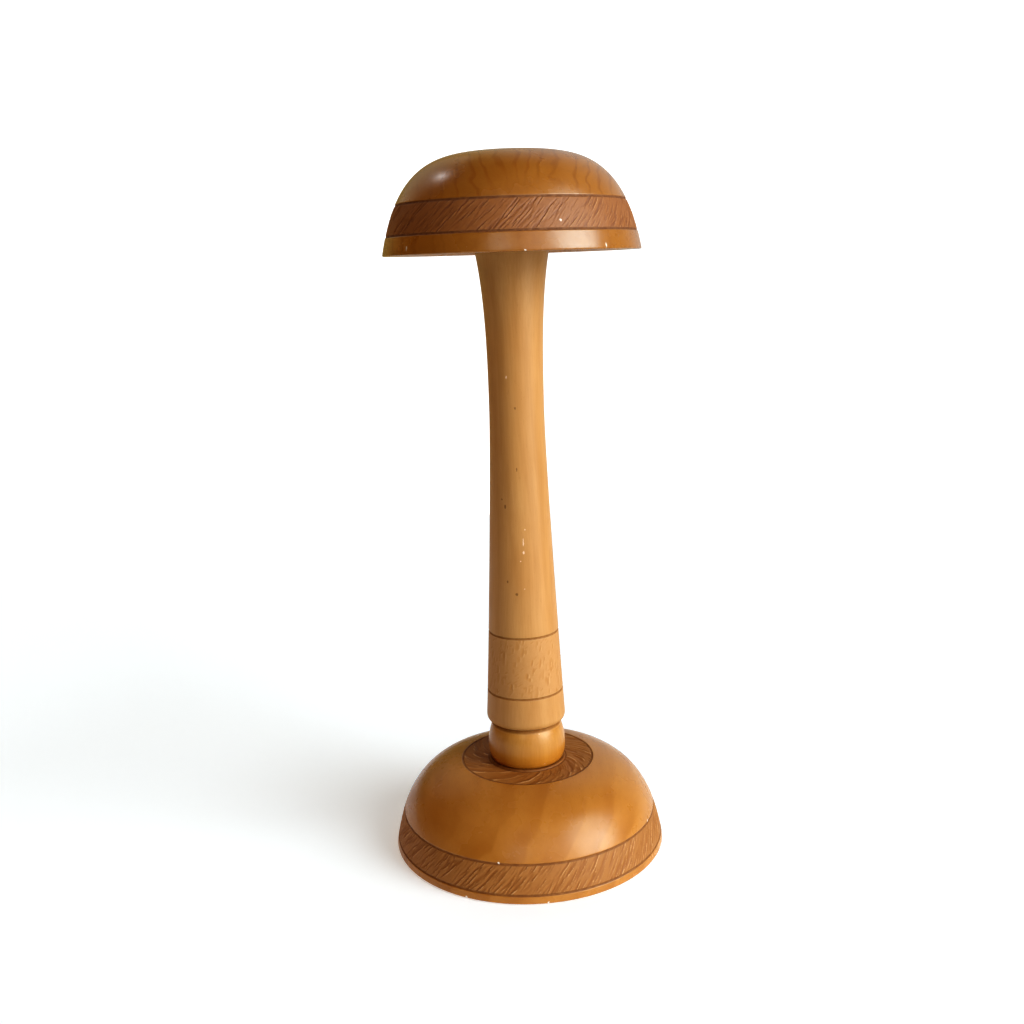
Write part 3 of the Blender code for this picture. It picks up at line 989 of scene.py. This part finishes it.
def make_room():
    """A dark room: a pale sheet stands behind the object and a warm wall on its left."""
    world = bpy.data.worlds.new("studio")
    world.use_nodes = True
    tree = world.node_tree
    towards = tree.nodes.new("ShaderNodeTexCoord")
    split = tree.nodes.new("ShaderNodeSeparateXYZ")
    tree.links.new(towards.outputs["Generated"], split.inputs[0])

    def fade(axis, start, end):
        ramp = tree.nodes.new("ShaderNodeMapRange")
        ramp.interpolation_type = "SMOOTHSTEP"
        ramp.inputs["From Min"].default_value = start
        ramp.inputs["From Max"].default_value = end
        tree.links.new(split.outputs[axis], ramp.inputs["Value"])
        return ramp.outputs[0]

    def scaled(colour, amount):
        node = tree.nodes.new("ShaderNodeVectorMath")
        node.operation = "SCALE"
        if isinstance(colour, tuple):
            node.inputs[0].default_value = colour
        else:
            tree.links.new(colour, node.inputs[0])
        tree.links.new(amount, node.inputs["Scale"])
        return node.outputs[0]

    def added(one, other):
        node = tree.nodes.new("ShaderNodeVectorMath")
        tree.links.new(one, node.inputs[0])
        tree.links.new(other, node.inputs[1])
        return node.outputs[0]

    left = scaled(LEFT_SHEET, fade("X", 0.2, -0.2))
    right = scaled(RIGHT_SHEET, fade("X", -0.2, 0.2))
    sheet = scaled(added(left, right), fade("Y", 0.2, 0.8))
    wall = scaled(scaled(WARM_WALL, fade("X", -0.4, -0.9)), fade("Z", 0.0, 0.3))
    room = tree.nodes["Background"]
    tree.links.new(added(sheet, wall), room.inputs["Color"])
    white = tree.nodes.new("ShaderNodeBackground")
    white.inputs["Color"].default_value = (1.0, 1.0, 1.0, 1.0)
    rays = tree.nodes.new("ShaderNodeLightPath")
    choice = tree.nodes.new("ShaderNodeMixShader")
    tree.links.new(rays.outputs["Is Camera Ray"], choice.inputs["Fac"])
    tree.links.new(room.outputs[0], choice.inputs[1])
    tree.links.new(white.outputs[0], choice.inputs[2])
    tree.links.new(choice.outputs[0], tree.nodes["World Output"].inputs["Surface"])
    bpy.context.scene.world = world


def make_lights():
    """A tall soft window on the right with a cool reflection, and weaker light from elsewhere."""
    cool = (0.66, 0.92, 1.0)
    add_sun("window_top", 62.0, 28.0, 44.0, 1.78, 1.9, cool)
    add_sun("window_foot", 60.0, 8.0, 38.0, 1.12, 1.2, cool)
    add_sun("low_front", 30.0, 16.0, 40.0, 0.42, 0.42)
    add_sun("front", 0.0, 38.0, 40.0, 0.16, 0.16)
    add_sun("small_window", -10.0, 21.0, 20.0, 0.02, 0.16, cool)
    add_sun("back_left", -145.0, 34.0, 40.0, 0.12, 0.1)
    add_glint(target=(0.0, 0.0, CAP_LOW.z * MM + 0.03))
    make_room()


def make_camera():
    """Just below the cap's rim, looking down at the base, with a slight roll."""
    lens = bpy.data.cameras.new("camera")
    lens.lens = 39.5
    lens.sensor_width = 36.0
    camera = bpy.data.objects.new("camera", lens)
    place = Matrix.Translation((-0.0045, -0.6283, 0.3385))
    degrees_down, degrees_rolled = 12.38, -1.87
    tilt = Matrix.Rotation(math.radians(90.0 - degrees_down), 4, "X")
    roll = Matrix.Rotation(math.radians(degrees_rolled), 4, "Z")
    camera.matrix_world = place @ tilt @ roll
    bpy.context.scene.collection.objects.link(camera)
    bpy.context.scene.camera = camera


make_camera()
make_lights()
make_floor()
base_chips = put_on(base_outline(), BASE_CHIPS)
cap_chips = put_on(cap_outline(), CAP_CHIPS)
stem_chips_and_highlight = put_on(stem_outline(), STEM_CHIPS_AND_HIGHLIGHT)
stem_pits = put_on(stem_outline(), STEM_PITS)
dress(make_base(), "base", wood("base_lacquered", BASE_LOOK, base_chips))
dress(make_cap(), "cap", wood("cap_lacquered", CAP_LOOK, cap_chips))
dress(make_stem(), "stem", wood("stem_satin", STEM_LOOK, stem_chips_and_highlight, stem_pits))
dress(make_dowel(), "cap_dowel", beech_wood())
dress(make_screw(), "stem_screw", plain_metal("zinc", ZINC, 0.3, 0.2))
dress(make_washer(), "screw_washer", plain_metal("brass", BRASS, 0.25, 0.2))
dress(make_felt(), "base_felt", green_baize())

bpy.context.scene.view_settings.view_transform = "Standard"
bpy.context.scene.view_settings.look = "High Contrast"
